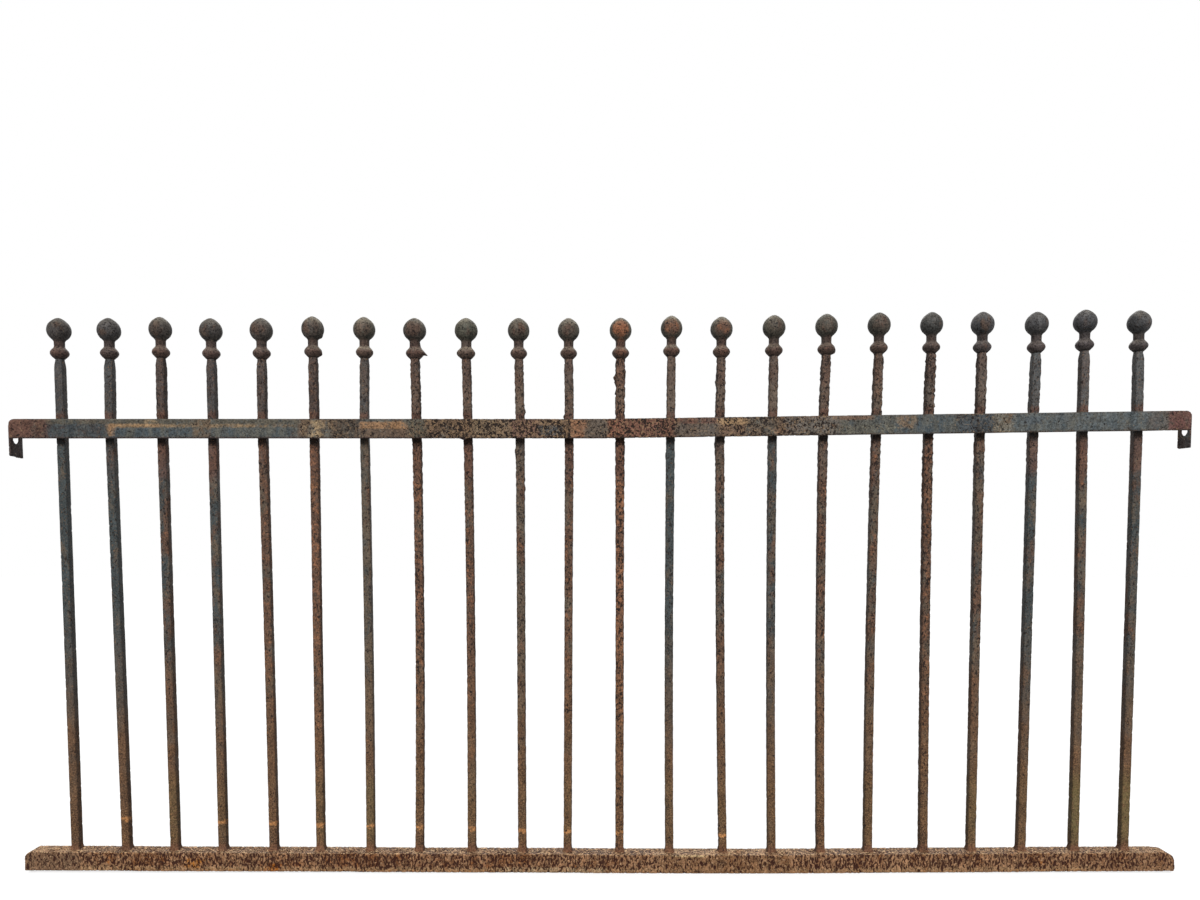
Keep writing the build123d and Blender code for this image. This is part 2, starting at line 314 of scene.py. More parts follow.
def make_weathered_iron():
    """Paint over rust over iron: what is left of the paint, the rust through it and its pits."""
    inputs = (
        ("Place", PLACE, None),
        ("Paint", COLOUR, paint(50, 56, 58)),
        ("Worn Paint", COLOUR, paint(72, 68, 62)),
        ("Rust", COLOUR, paint(84, 60, 46)),
        ("Fresh Rust", COLOUR, paint(122, 76, 46)),
        ("Worn Share", NUMBER, 0.5),
        ("Rust Share", NUMBER, 0.5),
        ("Fresh Share", NUMBER, 0.2),
        ("Pit Share", NUMBER, 0.4),
        ("Pit Size", NUMBER, 0.006),
        ("Pit Stretch", NUMBER, 1.5),
        ("Patch Size", NUMBER, 0.06),
        ("Fleck Share", NUMBER, 0.3),
        ("Tone", NUMBER, 0.85),
    )
    outputs = (
        ("Color", COLOUR),
        ("Roughness", NUMBER),
        ("Height", NUMBER),
        ("Pitted", NUMBER),
        ("Flecked", NUMBER),
        ("Grain", COLOUR),
    )
    tree, wire, given, result = new_group("weathered_iron", "ShaderNodeTree", inputs, outputs)
    place = given["Place"]
    drawn = wire.vector("MULTIPLY", place, (1.0, 1.0, 0.45))

    patches = wire.noise(drawn, given["Patch Size"], detail=8.0, roughness=0.68)
    rusted = wire.covering(patches, given["Rust Share"], 0.08)
    faded = wire.noise(drawn, 0.022, detail=6.0, roughness=0.68)
    worn = wire.covering(faded, given["Worn Share"], 0.12)
    coat = wire.mix(worn, given["Paint"], given["Worn Paint"])
    mottle = wire.noise(place, 0.008, detail=5.0, roughness=0.7)
    fresh = wire.covering(mottle, given["Fresh Share"], 0.10)
    bare = wire.mix(fresh, given["Rust"], given["Fresh Rust"])
    wire.feed(result["Color"], wire.mix(rusted, coat, bare))

    # Fine grain and broader shades, which darken or lighten whatever lies on the iron
    fine = wire.noise(place, 0.0033, detail=3.0, roughness=0.75)
    broad = wire.noise(drawn, 0.016, detail=4.0, roughness=0.6)
    shade = wire.linear(wire.less(fine, 0.5), 3.8, 1.0)
    shade = wire.linear(wire.less(broad, 0.5), 1.4, shade)
    shade = wire.times(wire.math("MAXIMUM", shade, 0.3), given["Tone"])
    grey = wire.node("ShaderNodeCombineXYZ", {0: shade, 1: shade, 2: shade})
    wire.feed(result["Grain"], grey.outputs[0])
    flecks = wire.noise(place, 0.0034, detail=3.0, roughness=0.7, distortion=0.6)
    wire.feed(result["Flecked"], wire.covering(flecks, given["Fleck Share"], 0.05))

    pits = pit_field(wire, place, given["Pit Size"], given["Pit Stretch"], given["Pit Share"])
    wire.feed(result["Roughness"], wire.linear(rusted, 0.25, 0.60))
    raised = wire.linear(rusted, 0.25, wire.times(fine, 0.6))
    wire.feed(result["Height"], wire.less(raised, pits))
    wire.feed(result["Pitted"], pits)
    return tree


weathered_iron = make_weathered_iron()


class Finish:
    """A material of old iron. Its colour is built up in layers, and the pits go over them all."""

    def __init__(self, name):
        self.material = bpy.data.materials.new(name)
        self.material.use_nodes = True
        self.material.node_tree.nodes.clear()
        self.wiring = Wiring(self.material.node_tree)
        self.place = self.wiring.node("ShaderNodeTexCoord").outputs["Object"]
        self.mottle = self.wiring.noise(self.place, 0.009, detail=6.0, roughness=0.7)

    def trait(self, name):
        """A value that the mesh itself carries, such as how far a face looks up."""
        return self.wiring.node("ShaderNodeAttribute", attribute_name=name).outputs["Fac"]

    def iron(self, **values):
        made = self.wiring.node("ShaderNodeGroup", node_tree=weathered_iron)
        self.wiring.feed(made.inputs["Place"], self.place)
        for name, value in values.items():
            self.wiring.feed(made.inputs[name.replace("_", " ").title()], value)
        self.iron_layer = made.outputs
        self.colour = made.outputs["Color"]

    def over(self, mask, colour, strength):
        share = self.wiring.times(mask, strength, clamp=True)
        self.colour = self.wiring.mix(share, self.colour, colour)

    def frayed_axes(self, reach):
        """Place along the fence and height, unsettled by noise so that stains get ragged rims."""
        wire = self.wiring
        along = wire.less(wire.noise(self.place, 0.012, detail=4.0), 0.5)
        upwards = wire.less(wire.noise(self.place, 0.009, detail=4.0, distortion=1.0), 0.5)
        axes = wire.axes(self.place)
        return wire.linear(along, reach[0], axes[0]), wire.linear(upwards, reach[1], axes[2])

    def stains(self, table, along, upwards, where):
        """Lays each stain of a table over its share of one stretch of a rail."""
        wire = self.wiring
        for span, rows, colour, share in table:
            left, right, low, high = (edge / 1000 for edge in span + rows)
            stretch = wire.between(along, left, right, 0.006)
            mask = wire.times(stretch, wire.between(upwards, low, high, 0.0022))
            mask = wire.times(mask, wire.covering(self.mottle, share, 0.12))
            self.over(wire.times(mask, where), paint(*colour), 0.9)

    def finish(self, pit, fleck, vividness, bump_distance):
        wire = self.wiring
        values = {"Saturation": vividness, "Color": self.colour}
        faded = wire.node("ShaderNodeHueSaturation", values).outputs["Color"]
        self.colour = wire.mix(1.0, faded, self.iron_layer["Grain"], blend="MULTIPLY")
        self.over(self.iron_layer["Flecked"], fleck, 0.6)
        self.over(self.iron_layer["Pitted"], pit, 0.95)
        height = self.iron_layer["Height"]
        bump = wire.node("ShaderNodeBump", {"Distance": bump_distance, "Height": height})
        values = {
            "Base Color": self.colour,
            "Roughness": self.iron_layer["Roughness"],
            "Normal": bump.outputs["Normal"],
        }
        shader = wire.node("ShaderNodeBsdfPrincipled", values)
        shader.inputs["Specular IOR Level"].default_value = 0.2
        wire.node("ShaderNodeOutputMaterial", {"Surface": shader.outputs[0]})
        return self.material


def rail_lift(wire, along):
    """How far the bent top rail stands above its straight left half."""
    past = wire.math("MAXIMUM", wire.less(along, BEND_PLACE), 0.0)
    return wire.times(past, BEND_RISE / (RAIL_LENGTH - BEND_PLACE))


def rail_sag(wire, along):
    """How far the bottom rail stands above its lowest place."""
    left = wire.times(wire.less(SAG_PLACE, along), SAG_LEFT / SAG_PLACE)
    right = wire.times(wire.less(along, SAG_PLACE), SAG_RIGHT / (RAIL_LENGTH - SAG_PLACE))
    return wire.math("MAXIMUM", left, right)


def make_bar_finish():
    finish = Finish("forged_bar_iron")
    wire = finish.wiring
    axes = wire.axes(finish.place)
    height = axes[2]
    rust = finish.trait("rust")
    scale = finish.trait("scale")
    # Above the rail the middle bars are browner than below it
    up_to_rail = wire.less(height, wire.plus(rail_lift(wire, axes[0]), RAIL_TOP))
    browned = wire.times(wire.between(axes[0], 0.75, 1.92, 0.02), wire.step(up_to_rail, -0.02, 0.01))
    blue = wire.times(finish.trait("blue"), wire.linear(browned, -0.9, 1.0))
    towards_foot = wire.step(height, -0.30, -0.78)
    share = wire.math("MAXIMUM", rust, wire.times(towards_foot, 0.7))
    thinned = wire.times(towards_foot, 0.25)
    finish.iron(
        paint=paint(60, 67, 68), worn_paint=paint(92, 80, 66),
        rust=paint(92, 68, 54), fresh_rust=paint(138, 90, 58),
        worn_share=wire.linear(blue, -0.60, 0.80),
        rust_share=share, fresh_share=wire.linear(rust, 0.45, 0.05),
        pit_share=wire.less(wire.linear(scale, 0.35, 0.40), thinned),
        pit_size=0.0040, pit_stretch=1.4, patch_size=0.035, fleck_share=0.22, tone=0.88,
    )
    ragged = wire.linear(wire.less(finish.mottle, 0.5), 0.03, height)
    above_rail = wire.less(ragged, wire.plus(rail_lift(wire, axes[0]), RAIL_TOP))
    above_foot = wire.less(ragged, wire.plus(rail_sag(wire, axes[0]), BOTTOM_RAIL_TOP))
    mottled = wire.covering(finish.mottle, 0.8, 0.12)

    upper = wire.step(above_rail, 0.055, 0.075)
    brown = wire.mix(upper, paint(102, 86, 73), paint(90, 71, 61))
    finish.over(wire.times(browned, mottled), brown, 0.7)

    # Slate paint above the rail, paler towards the right end
    slated = wire.times(finish.trait("slate"), wire.step(above_rail, 0.004, 0.022))
    slate = wire.mix(wire.step(axes[0], 1.70, 1.95), paint(70, 66, 65), paint(83, 83, 83))
    finish.over(wire.times(slated, wire.covering(finish.mottle, 0.85, 0.15)), slate, 0.9)

    # Red rust where water stood on the rail, and below it on some bars
    pooled = wire.between(above_rail, 0.0, 0.014, 0.005)
    finish.over(wire.times(pooled, mottled), paint(92, 62, 50), 0.85)
    below_rail = wire.between(above_rail, -0.115, -0.038, 0.014)
    reddened = wire.times(below_rail, finish.trait("red"))
    finish.over(wire.times(reddened, mottled), paint(96, 66, 54), 0.75)
    # Painted shadow: a dark band on the bars just below the top rail, where the rail shades them
    painted_rail_shadow = wire.times(wire.step(above_rail, -0.058, -0.040), wire.step(above_rail, -0.028, -0.034))
    finish.over(painted_rail_shadow, paint(26, 24, 24), 0.8)

    # Dust and dry rust lighten the bars towards their feet, which are redder again
    dust = wire.times(towards_foot, wire.noise(finish.place, 0.03, detail=6.0))
    finish.over(dust, paint(134, 96, 56), 1.15)
    specks = wire.covering(wire.noise(finish.place, 0.0028, detail=2.0), 0.55, 0.05)
    finish.over(wire.times(specks, towards_foot), paint(62, 42, 28), 0.75)
    olive = wire.times(wire.between(above_foot, 0.020, 0.150, 0.03), finish.trait("olive"))
    finish.over(wire.times(olive, wire.covering(finish.mottle, 0.75, 0.12)), paint(108, 98, 56), 0.6)
    finish.over(wire.step(above_foot, 0.020, 0.004), paint(112, 72, 48), 0.7)

    # Orange marks where a wire once tied the bars
    tie = finish.trait("tie")
    near_tie = wire.math("ABSOLUTE", wire.less(ragged, tie))
    mark = wire.times(wire.step(near_tie, 0.0046, 0.0014), wire.covering(finish.mottle, 0.72, 0.1))
    finish.over(mark, paint(192, 128, 62), 0.78)

    # Painted shade: the faces that look along the fence are darkened, as if turned away from the light
    finish.over(wire.step(finish.trait("sideward"), 0.55, 0.95), paint(52, 51, 52), 0.30)
    return finish.finish(paint(32, 24, 21), paint(138, 104, 74), 0.92, 0.0006)


def make_ball_finish():
    finish = Finish("cast_ball_iron")
    wire = finish.wiring
    rust = finish.trait("rust")
    orange = finish.trait("orange")
    rise = finish.trait("rise")
    fronted = wire.step(finish.trait("frontward"), 0.45, 0.95)
    green = finish.trait("green")
    slate = finish.trait("slate")
    coat = wire.mix(green, paint(60, 56, 54), paint(66, 67, 58))
    coat = wire.mix(slate, coat, paint(61, 63, 66))
    worn_coat = wire.mix(green, paint(76, 70, 66), paint(92, 88, 75))
    worn_coat = wire.mix(slate, worn_coat, paint(82, 81, 83))
    finish.iron(
        paint=coat, worn_paint=worn_coat,
        rust=paint(82, 66, 57), fresh_rust=paint(132, 86, 56),
        rust_share=wire.times(rust, fronted), fresh_share=orange,
        pit_share=0.52, pit_size=0.0036, pit_stretch=1.0, patch_size=0.02, fleck_share=0.16, tone=0.80,
    )
    glow = wire.times(wire.times(orange, fronted), wire.covering(finish.mottle, 0.6, 0.1))
    finish.over(glow, paint(150, 84, 46), 0.8)
    # Neck and collar are redder
    redder = wire.times(wire.step(rise, 0.038, 0.030), wire.linear(slate, -0.6, 1.0))
    finish.over(redder, paint(96, 66, 56), 0.62)
    # Painted shade: the hollow of the neck under the ball is darkened
    finish.over(wire.between(rise, 0.022, 0.037, 0.003), paint(40, 34, 32), 0.55)
    # Pale dust lies on what looks up, and the same pale colour is painted light from above, lightening
    # the tops of the balls
    dust_and_top_light = wire.linear(wire.step(finish.trait("upward"), 0.10, 0.9), 0.9, 0.1)
    dust_and_top_light = wire.times(dust_and_top_light, finish.trait("dust"))
    dust_and_top_light = wire.times(dust_and_top_light, wire.covering(finish.mottle, 0.75, 0.15))
    finish.over(dust_and_top_light, paint(170, 158, 136), 0.70)
    # Painted shade where the ball sits on its bar
    finish.over(wire.step(rise, 0.004, 0.0005), paint(36, 28, 25), 0.7)
    return finish.finish(paint(32, 26, 24), paint(116, 102, 84), 0.92, 0.0009)


# Stains of the rails' front faces: along the fence from and to, height on the face from and to,
# all in millimetres, the colour, and the share of the stretch that it covers
TOP_RAIL_STAINS = (
    ((66, 190), (4, 30), (64, 72, 76), 0.70),
    ((-20, 48), (-10, 50), (104, 66, 52), 0.90),
    ((40, 78), (-10, 50), (96, 64, 52), 0.62),
    ((64, 112), (-10, 50), (88, 66, 56), 0.30),
    ((76, 560), (27.5, 50), (96, 88, 72), 0.70),
    ((130, 196), (-10, 50), (92, 78, 68), 0.35),
    ((199, 300), (21.5, 28), (168, 128, 78), 0.80),
    ((300, 480), (21.5, 27.5), (150, 120, 80), 0.65),
    ((480, 560), (21.5, 27.5), (140, 112, 76), 0.45),
    ((193, 205), (5, 28), (168, 122, 72), 0.75),
    ((262, 285), (30, 50), (168, 140, 100), 0.60),
    ((360, 392), (-10, 50), (112, 90, 66), 0.60),
    ((563, 590), (-10, 50), (150, 126, 92), 0.35),
    ((587, 607), (-10, 34), (186, 154, 106), 0.60),
    ((606, 632), (17, 36), (160, 132, 94), 0.35),
    ((629, 679), (-10, 50), (74, 68, 60), 0.60),
    ((679, 768), (18, 32), (166, 118, 68), 0.75),
    ((679, 768), (-10, 18), (108, 84, 64), 0.80),
    ((768, 812), (-10, 50), (84, 82, 70), 0.60),
    ((810, 895), (-10, 50), (106, 82, 62), 0.55),
    ((895, 972), (-10, 50), (126, 106, 82), 0.65),
    ((972, 1030), (-10, 50), (118, 84, 70), 0.70),
    ((1020, 1070), (26, 50), (144, 114, 84), 0.70),
    ((1026, 1068), (6, 25), (74, 80, 84), 0.85),
    ((1086, 1116), (-10, 36), (168, 112, 70), 0.70),
    ((1112, 1158), (-10, 50), (104, 92, 80), 0.80),
    ((1158, 1290), (-10, 50), (124, 76, 58), 0.80),
    ((1158, 1185), (-10, 34), (156, 92, 58), 0.50),
    ((1285, 1374), (-10, 30), (106, 92, 80), 0.75),
    ((1285, 1374), (26, 50), (118, 76, 58), 0.65),
    ((1370, 1424), (23.5, 35), (182, 142, 94), 0.80),
    ((1370, 1424), (-10, 23), (118, 90, 70), 0.60),
    ((1424, 1478), (-10, 50), (104, 90, 76), 0.55),
    ((1478, 1530), (5, 15), (140, 98, 64), 0.50),
    ((1530, 1665), (29, 50), (126, 92, 68), 0.75),
    ((1530, 1612), (-10, 29), (100, 96, 82), 0.60),
    ((1500, 1604), (-10, 36), (122, 114, 106), 0.60),
    ((1600, 1720), (-10, 20), (116, 112, 96), 0.50),
    ((1715, 1750), (12, 36), (132, 106, 78), 0.60),
    ((1829, 1906), (-10, 36), (68, 78, 84), 0.85),
    ((1903, 1940), (-10, 36), (164, 140, 100), 0.50),
    ((1960, 1992), (16, 30), (70, 80, 88), 0.80),
    ((2014, 2062), (-10, 50), (96, 88, 76), 0.45),
    ((1905, 2200), (4, 36), (104, 112, 114), 0.45),
    ((2199, 2245), (-10, 50), (104, 96, 90), 0.60),
    ((2238, 2300), (-10, 50), (112, 68, 60), 0.80),
    ((-20, 2300), (-10, 2.8), (84, 64, 52), 0.60),
    ((-20, 2300), (36, 50), (78, 66, 56), 0.55),
)
BOTTOM_RAIL_STAINS = (
    ((-20, 110), (-10, 50), (112, 88, 70), 0.80),
    ((110, 2300), (-10, 11), (150, 122, 94), 0.60),
    ((200, 2200), (-10, 6), (136, 88, 52), 0.35),
    ((250, 960), (11, 34), (104, 66, 46), 0.35),
    ((318, 354), (7, 26), (164, 110, 62), 0.58),
    ((478, 507), (-10, 17), (158, 96, 48), 0.60),
    ((940, 1150), (-10, 12), (166, 144, 116), 0.50),
    ((1262, 1520), (-10, 50), (124, 94, 70), 0.60),
    ((1280, 1352), (34.5, 50), (200, 174, 136), 0.80),
    ((2140, 2300), (-10, 50), (126, 94, 72), 0.60),
)


def make_top_rail_finish():
    finish = Finish("painted_angle_iron")
    wire = finish.wiring
    along, upwards = finish.frayed_axes((0.030, 0.006))
    upwards = wire.less(upwards, rail_lift(wire, along))
    upwards = wire.less(upwards, RAIL_TOP - RAIL_DEPTH)
    wear = finish.trait("wear")
    finish.iron(
        paint=paint(70, 82, 88), worn_paint=paint(100, 99, 90),
        rust=paint(100, 78, 60), fresh_rust=paint(150, 112, 74),
        worn_share=wire.linear(wear, 0.4, 0.45),
        rust_share=wire.linear(wear, 0.70, 0.10),
        fresh_share=wire.linear(wear, 0.35, 0.10),
        pit_share=wire.linear(wear, 0.66, 0.20),
        pit_size=0.0042, pit_stretch=1.1, patch_size=0.05, tone=0.68,
        fleck_share=wire.linear(wear, 0.32, 0.05),
    )
    front = wire.step(finish.trait("frontward"), 0.3, 0.8)
    finish.stains(TOP_RAIL_STAINS, along, upwards, front)
    # The lugs below the front leg are dark
    finish.over(wire.step(wire.axes(finish.place)[2], 0.004, -0.001), paint(66, 51, 52), 0.85)
    return finish.finish(paint(27, 19, 17), paint(150, 124, 92), 0.86, 0.0008)


def make_bottom_rail_finish():
    finish = Finish("pitted_angle_iron")
    wire = finish.wiring
    along, upwards = finish.frayed_axes((0.024, 0.006))
    upwards = wire.less(upwards, rail_sag(wire, along))
    upwards = wire.less(upwards, BOTTOM_RAIL_TOP - RAIL_DEPTH)
    wear = finish.trait("wear")
    front = wire.step(finish.trait("frontward"), 0.3, 0.8)
    # Fewer pits along the lower edge and on the top face
    where = wire.linear(wire.step(upwards, 0.004, 0.012), 0.30, 0.70)
    share = wire.times(wire.linear(wear, 0.68, 0.30), where)
    finish.iron(
        paint=paint(136, 103, 79), worn_paint=paint(156, 122, 95),
        rust=paint(114, 80, 58), fresh_rust=paint(148, 98, 62),
        worn_share=0.5, rust_share=0.40, fresh_share=0.25,
        pit_share=share, pit_size=0.0037, pit_stretch=2.3, patch_size=0.04, fleck_share=0.24, tone=0.90,
    )
    finish.stains(BOTTOM_RAIL_STAINS, along, upwards, front)
    # Pale dry scale lies on the top face, and in flecks. It is partly painted light: the top face is
    # lightened as if lit from above, and the flecks are partly painted glints on the edges of pits
    top = wire.step(finish.trait("upward"), 0.4, 0.9)
    finish.over(top, paint(170, 136, 108), 0.45)
    streaked = wire.vector("MULTIPLY", finish.place, (0.55, 1.0, 1.0))
    flecks = wire.covering(wire.noise(streaked, 0.0048, detail=4.0, roughness=0.7), 0.45, 0.08)
    finish.over(wire.times(flecks, top), paint(220, 190, 152), 0.70)
    return finish.finish(paint(48, 20, 10), paint(196, 162, 126), 1.10, 0.001)


# Geometry trees

SKIN_INPUTS = (
    ("Pit Depth", NUMBER, 0.0006),
    ("Pit Size", NUMBER, 0.005),
    ("Pit Stretch", NUMBER, 1.4),
    ("Pit Share", NUMBER, 0.4),
    ("Swell", NUMBER, 0.0004),
    ("Swell Size", NUMBER, 0.02),
    ("Swell Bias", NUMBER, 0.0),
    ("Lumps", NUMBER, 0.0),
    ("Material", MATERIAL, None),
)
MESH_OUT = (("Geometry", MESH),)


def make_corroded_skin():
    """Wears any shape: pits go in, scale stands out, and each place keeps which way it looks."""
    inputs = (("Geometry", MESH, None),) + SKIN_INPUTS[:-1]
    tree, wire, given, result = new_group("corroded_skin", "GeometryNodeTree", inputs, MESH_OUT)
    place = wire.node("GeometryNodeInputPosition").outputs[0]
    normal = wire.node("GeometryNodeInputNormal").outputs[0]
    geometry = given["Geometry"]
    axes = wire.axes(normal)
    looks = (
        ("upward", axes[2]),
        ("frontward", wire.times(axes[1], -1.0)),
        ("sideward", wire.math("ABSOLUTE", axes[0])),
    )
    for name, value in looks:
        kept = wire.node("GeometryNodeStoreNamedAttribute", data_type="FLOAT", domain="POINT")
        kept.inputs["Name"].default_value = name
        wire.feed(kept.inputs["Geometry"], geometry)
        wire.feed(kept.inputs["Value"], wire.math("MAXIMUM", value, 0.0))
        geometry = kept.outputs["Geometry"]

    wear = wire.node("GeometryNodeInputNamedAttribute", data_type="FLOAT")
    wear.inputs["Name"].default_value = "wear"
    share = wire.linear(wear.outputs["Attribute"], 0.6, given["Pit Share"])
    pits = pit_field(wire, place, given["Pit Size"], given["Pit Stretch"], share)
    swell = wire.noise(place, given["Swell Size"], detail=3.0, roughness=0.55)
    swell = wire.times(wire.less(swell, 0.5), 3.0)
    swell = wire.less(swell, given["Swell Bias"])
    rise = wire.times(swell, given["Swell"])
    rise = wire.less(rise, wire.times(pits, given["Pit Depth"]))
    # Scale stands out in lumps, most of it above and just below the top rail
    lumps = wire.covering(wire.noise(place, 0.0075, detail=3.0), 0.45, 0.08)
    above = wire.step(wire.axes(place)[2], -0.25, 0.03)
    lumps = wire.times(lumps, wire.linear(above, 0.75, 0.25))
    rise = wire.linear(lumps, given["Lumps"], rise)
    offset = wire.scaled(normal, rise)
    worn = wire.node("GeometryNodeSetPosition", {"Geometry": geometry, "Offset": offset})
    wire.feed(result["Geometry"], worn.outputs["Geometry"])
    return tree


corroded_skin = make_corroded_skin()


def dress(wire, given, result, geometry):
    """The end of every tree: the worn skin, real geometry and the material."""
    skin = wire.node("GeometryNodeGroup", node_tree=corroded_skin)
    wire.feed(skin.inputs["Geometry"], geometry)
    for name, _, _ in SKIN_INPUTS[:-1]:
        wire.feed(skin.inputs[name], given[name])
    smooth = wire.node("GeometryNodeSetShadeSmooth", {"Geometry": skin.outputs["Geometry"]})
    real = wire.node("GeometryNodeRealizeInstances", {"Geometry": smooth.outputs["Geometry"]})
    values = {"Geometry": real.outputs["Geometry"], "Material": given["Material"]}
    finished = wire.node("GeometryNodeSetMaterial", values)
    wire.feed(result["Geometry"], finished.outputs["Geometry"])


def make_worn_casting():
    """The worn skin over a mesh that is already shaped, such as a rail or a cast ball."""
    inputs = (("Geometry", MESH, None),) + SKIN_INPUTS
    tree, wire, given, result = new_group("worn_skin", "GeometryNodeTree", inputs, MESH_OUT)
    dress(wire, given, result, given["Geometry"])
    return tree


def make_forged_bar():
    """A square bar from its peened head, up its leaning length, to the round end under the ball."""
    inputs = (
        ("Geometry", MESH, None),
        ("Foot", PLACE, None),
        ("Hole", PLACE, None),
        ("Seat", PLACE, None),
        ("Side", NUMBER, BAR_SIDE),
        ("Round Radius", NUMBER, ROUND_RADIUS),
        ("Bow", NUMBER, 0.0),
        ("Shoulder Height", NUMBER, SHOULDER_HEIGHT),
        ("Foot Height", NUMBER, FOOT_HEIGHT),
        ("Foot Spread", NUMBER, FOOT_SPREAD),
        ("Station", NUMBER, BAR_STATION),
        ("Ring Points", COUNT, BAR_RING_POINTS),
    ) + SKIN_INPUTS
    tree, wire, given, result = new_group("forged_bar", "GeometryNodeTree", inputs, MESH_OUT)

    values = {"Start": given["Foot"], "End": given["Seat"]}
    line = wire.node("GeometryNodeCurvePrimitiveLine", values)
    values = {"Curve": line.outputs["Curve"], "Length": given["Station"]}
    stations = wire.node("GeometryNodeResampleCurve", values, mode="LENGTH")
    kept = wire.node("GeometryNodeCaptureAttribute", domain="POINT")
    kept.capture_items.new("VECTOR", "Axis")
    kept.capture_items.new("FLOAT", "Run")
    wire.feed(kept.inputs[0], stations.outputs["Curve"])
    wire.feed(kept.inputs["Axis"], wire.node("GeometryNodeInputPosition").outputs[0])
    wire.feed(kept.inputs["Run"], wire.node("GeometryNodeSplineParameter").outputs["Length"])
    axis, run = kept.outputs["Axis"], kept.outputs["Run"]
    values = {"Resolution": given["Ring Points"], "Radius": given["Side"]}
    ring = wire.node("GeometryNodeCurvePrimitiveCircle", values)
    square_on = wire.node("GeometryNodeSetCurveNormal", {"Curve": kept.outputs[0]}, mode="FREE")
    square_on.inputs["Normal"].default_value = (1.0, 0.0, 0.0)
    values = {"Curve": square_on.outputs[0], "Profile Curve": ring.outputs[0], "Fill Caps": True}
    swept = wire.node("GeometryNodeCurveToMesh", values).outputs["Mesh"]

    # The bar runs straight to its hole in the top rail and on to its ball, and is bowed below
    whole = wire.vector("DISTANCE", given["Foot"], given["Seat"])
    free = wire.vector("DISTANCE", given["Foot"], given["Hole"])
    left = wire.less(whole, run)
    up = wire.math("DIVIDE", run, free, clamp=True)
    down = wire.math("DIVIDE", left, wire.less(whole, free), clamp=True)
    run_to_seat = wire.vector("SUBTRACT", given["Seat"], given["Foot"])
    run_to_hole = wire.scaled(run_to_seat, wire.math("DIVIDE", free, whole))
    straight = wire.vector("ADD", given["Foot"], run_to_hole)
    kink = wire.axes(wire.vector("SUBTRACT", given["Hole"], straight))[0]
    aside = wire.times(wire.math("SINE", wire.times(up, pi)), given["Bow"])
    aside = wire.linear(wire.math("MINIMUM", up, down), kink, aside)
    bowed = wire.node("ShaderNodeCombineXYZ", {0: aside}).outputs[0]

    # Each ring is a worn square that turns round at the top and spreads at the foot
    rounded = wire.step(left, wire.times(given["Shoulder Height"], 1.6), 0.0)
    power = wire.linear(wire.math("POWER", wire.less(1.0, rounded), 2.0), 8.0, 2.0)
    half = wire.times(given["Side"], 0.5)
    half = wire.linear(wire.less(given["Round Radius"], half), rounded, half)
    near_foot = wire.less(1.0, wire.math("DIVIDE", run, given["Foot Height"]), clamp=True)
    half = wire.linear(wire.math("POWER", near_foot, 2.0), given["Foot Spread"], half)
    position = wire.node("GeometryNodeInputPosition").outputs[0]
    away = wire.vector("NORMALIZE", wire.vector("SUBTRACT", position, axis))
    away_axes = wire.axes(away)
    sides = [wire.math("ABSOLUTE", away_axes[index]) for index in (0, 1)]
    total = wire.plus(*(wire.math("POWER", side, power) for side in sides))
    spread = wire.math("POWER", total, wire.math("DIVIDE", 1.0, power))
    reach = wire.scaled(away, wire.math("DIVIDE", half, spread))
    surface = wire.vector("ADD", wire.vector("ADD", axis, bowed), reach)
    shaped = wire.node("GeometryNodeSetPosition", {"Geometry": swept, "Position": surface})

    # The tenon's head, hammered over below the web
    head = wire.node(
        "GeometryNodeMeshCone",
        {
            "Vertices": 20, "Side Segments": 3, "Fill Segments": 2,
            "Radius Top": PEEN_RADIUS, "Radius Bottom": PEEN_TOP_RADIUS, "Depth": PEEN_HEIGHT,
        },
    )
    below = wire.vector("ADD", given["Foot"], (0.0, 0.0, FOOT_SINK - WEB_THICKNESS - PEEN_HEIGHT))
    values = {"Geometry": head.outputs["Mesh"], "Translation": below}
    placed = wire.node("GeometryNodeTransform", values)
    joined = wire.node("GeometryNodeJoinGeometry")
    for part in (placed, shaped):
        wire.feed(joined.inputs["Geometry"], part.outputs["Geometry"])
    dress(wire, given, result, joined.outputs["Geometry"])
    return tree


forged_bar = make_forged_bar()
worn_skin = make_worn_casting()


# Pieces


def grow(name, mesh, tree, values):
    """Runs one geometry tree over a mesh and keeps the result as a plain object at the origin."""
    seed = bpy.data.objects.new(name + "_seed", mesh)
    bpy.context.collection.objects.link(seed)
    modifier = seed.modifiers.new("shape", "NODES")
    modifier.node_group = tree
    sockets = {
        item.name: item.identifier for item in tree.interface.items_tree if item.in_out == "INPUT"
    }
    for label, value in values.items():
        modifier[sockets[label]] = value
    bpy.context.view_layer.update()
    evaluated = seed.evaluated_get(bpy.context.evaluated_depsgraph_get())
    made = bpy.data.meshes.new_from_object(evaluated)
    made.name = name
    seed.modifiers.remove(modifier)
    bpy.data.objects.remove(seed)
    piece = bpy.data.objects.new(name, made)
    bpy.context.collection.objects.link(piece)
    return piece


def stand_for(piece, node):
    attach(piece, BODY)
    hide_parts(node)


def merged_copy(node):
    """The CAD node's mesh with its loose triangles joined up."""
    mesh = frame["nodes"][node].data.copy()
    work = bmesh.new()
    work.from_mesh(mesh)
    bmesh.ops.remove_doubles(work, verts=work.verts, dist=1e-6)
    work.to_mesh(mesh)
    work.free()
    return mesh


def even_mesh(mesh, grain):
    """The same shape in even small faces, fine enough to take wear."""
    holder = bpy.data.objects.new("even", mesh)
    bpy.context.collection.objects.link(holder)
    remesh = holder.modifiers.new("even", "REMESH")
    remesh.mode = "VOXEL"
    remesh.voxel_size = grain
    evaluated = holder.evaluated_get(bpy.context.evaluated_depsgraph_get())
    made = bpy.data.meshes.new_from_object(evaluated)
    bpy.data.objects.remove(holder)
    return made


def lowest_centre(node):
    """The middle of a node's lowest face."""
    places = [vertex.co for vertex in frame["nodes"][node].data.vertices]
    floor = min(place.z for place in places)
    lowest = [place for place in places if place.z < floor + 1e-5]
    return sum(lowest, Vector()) / len(lowest)


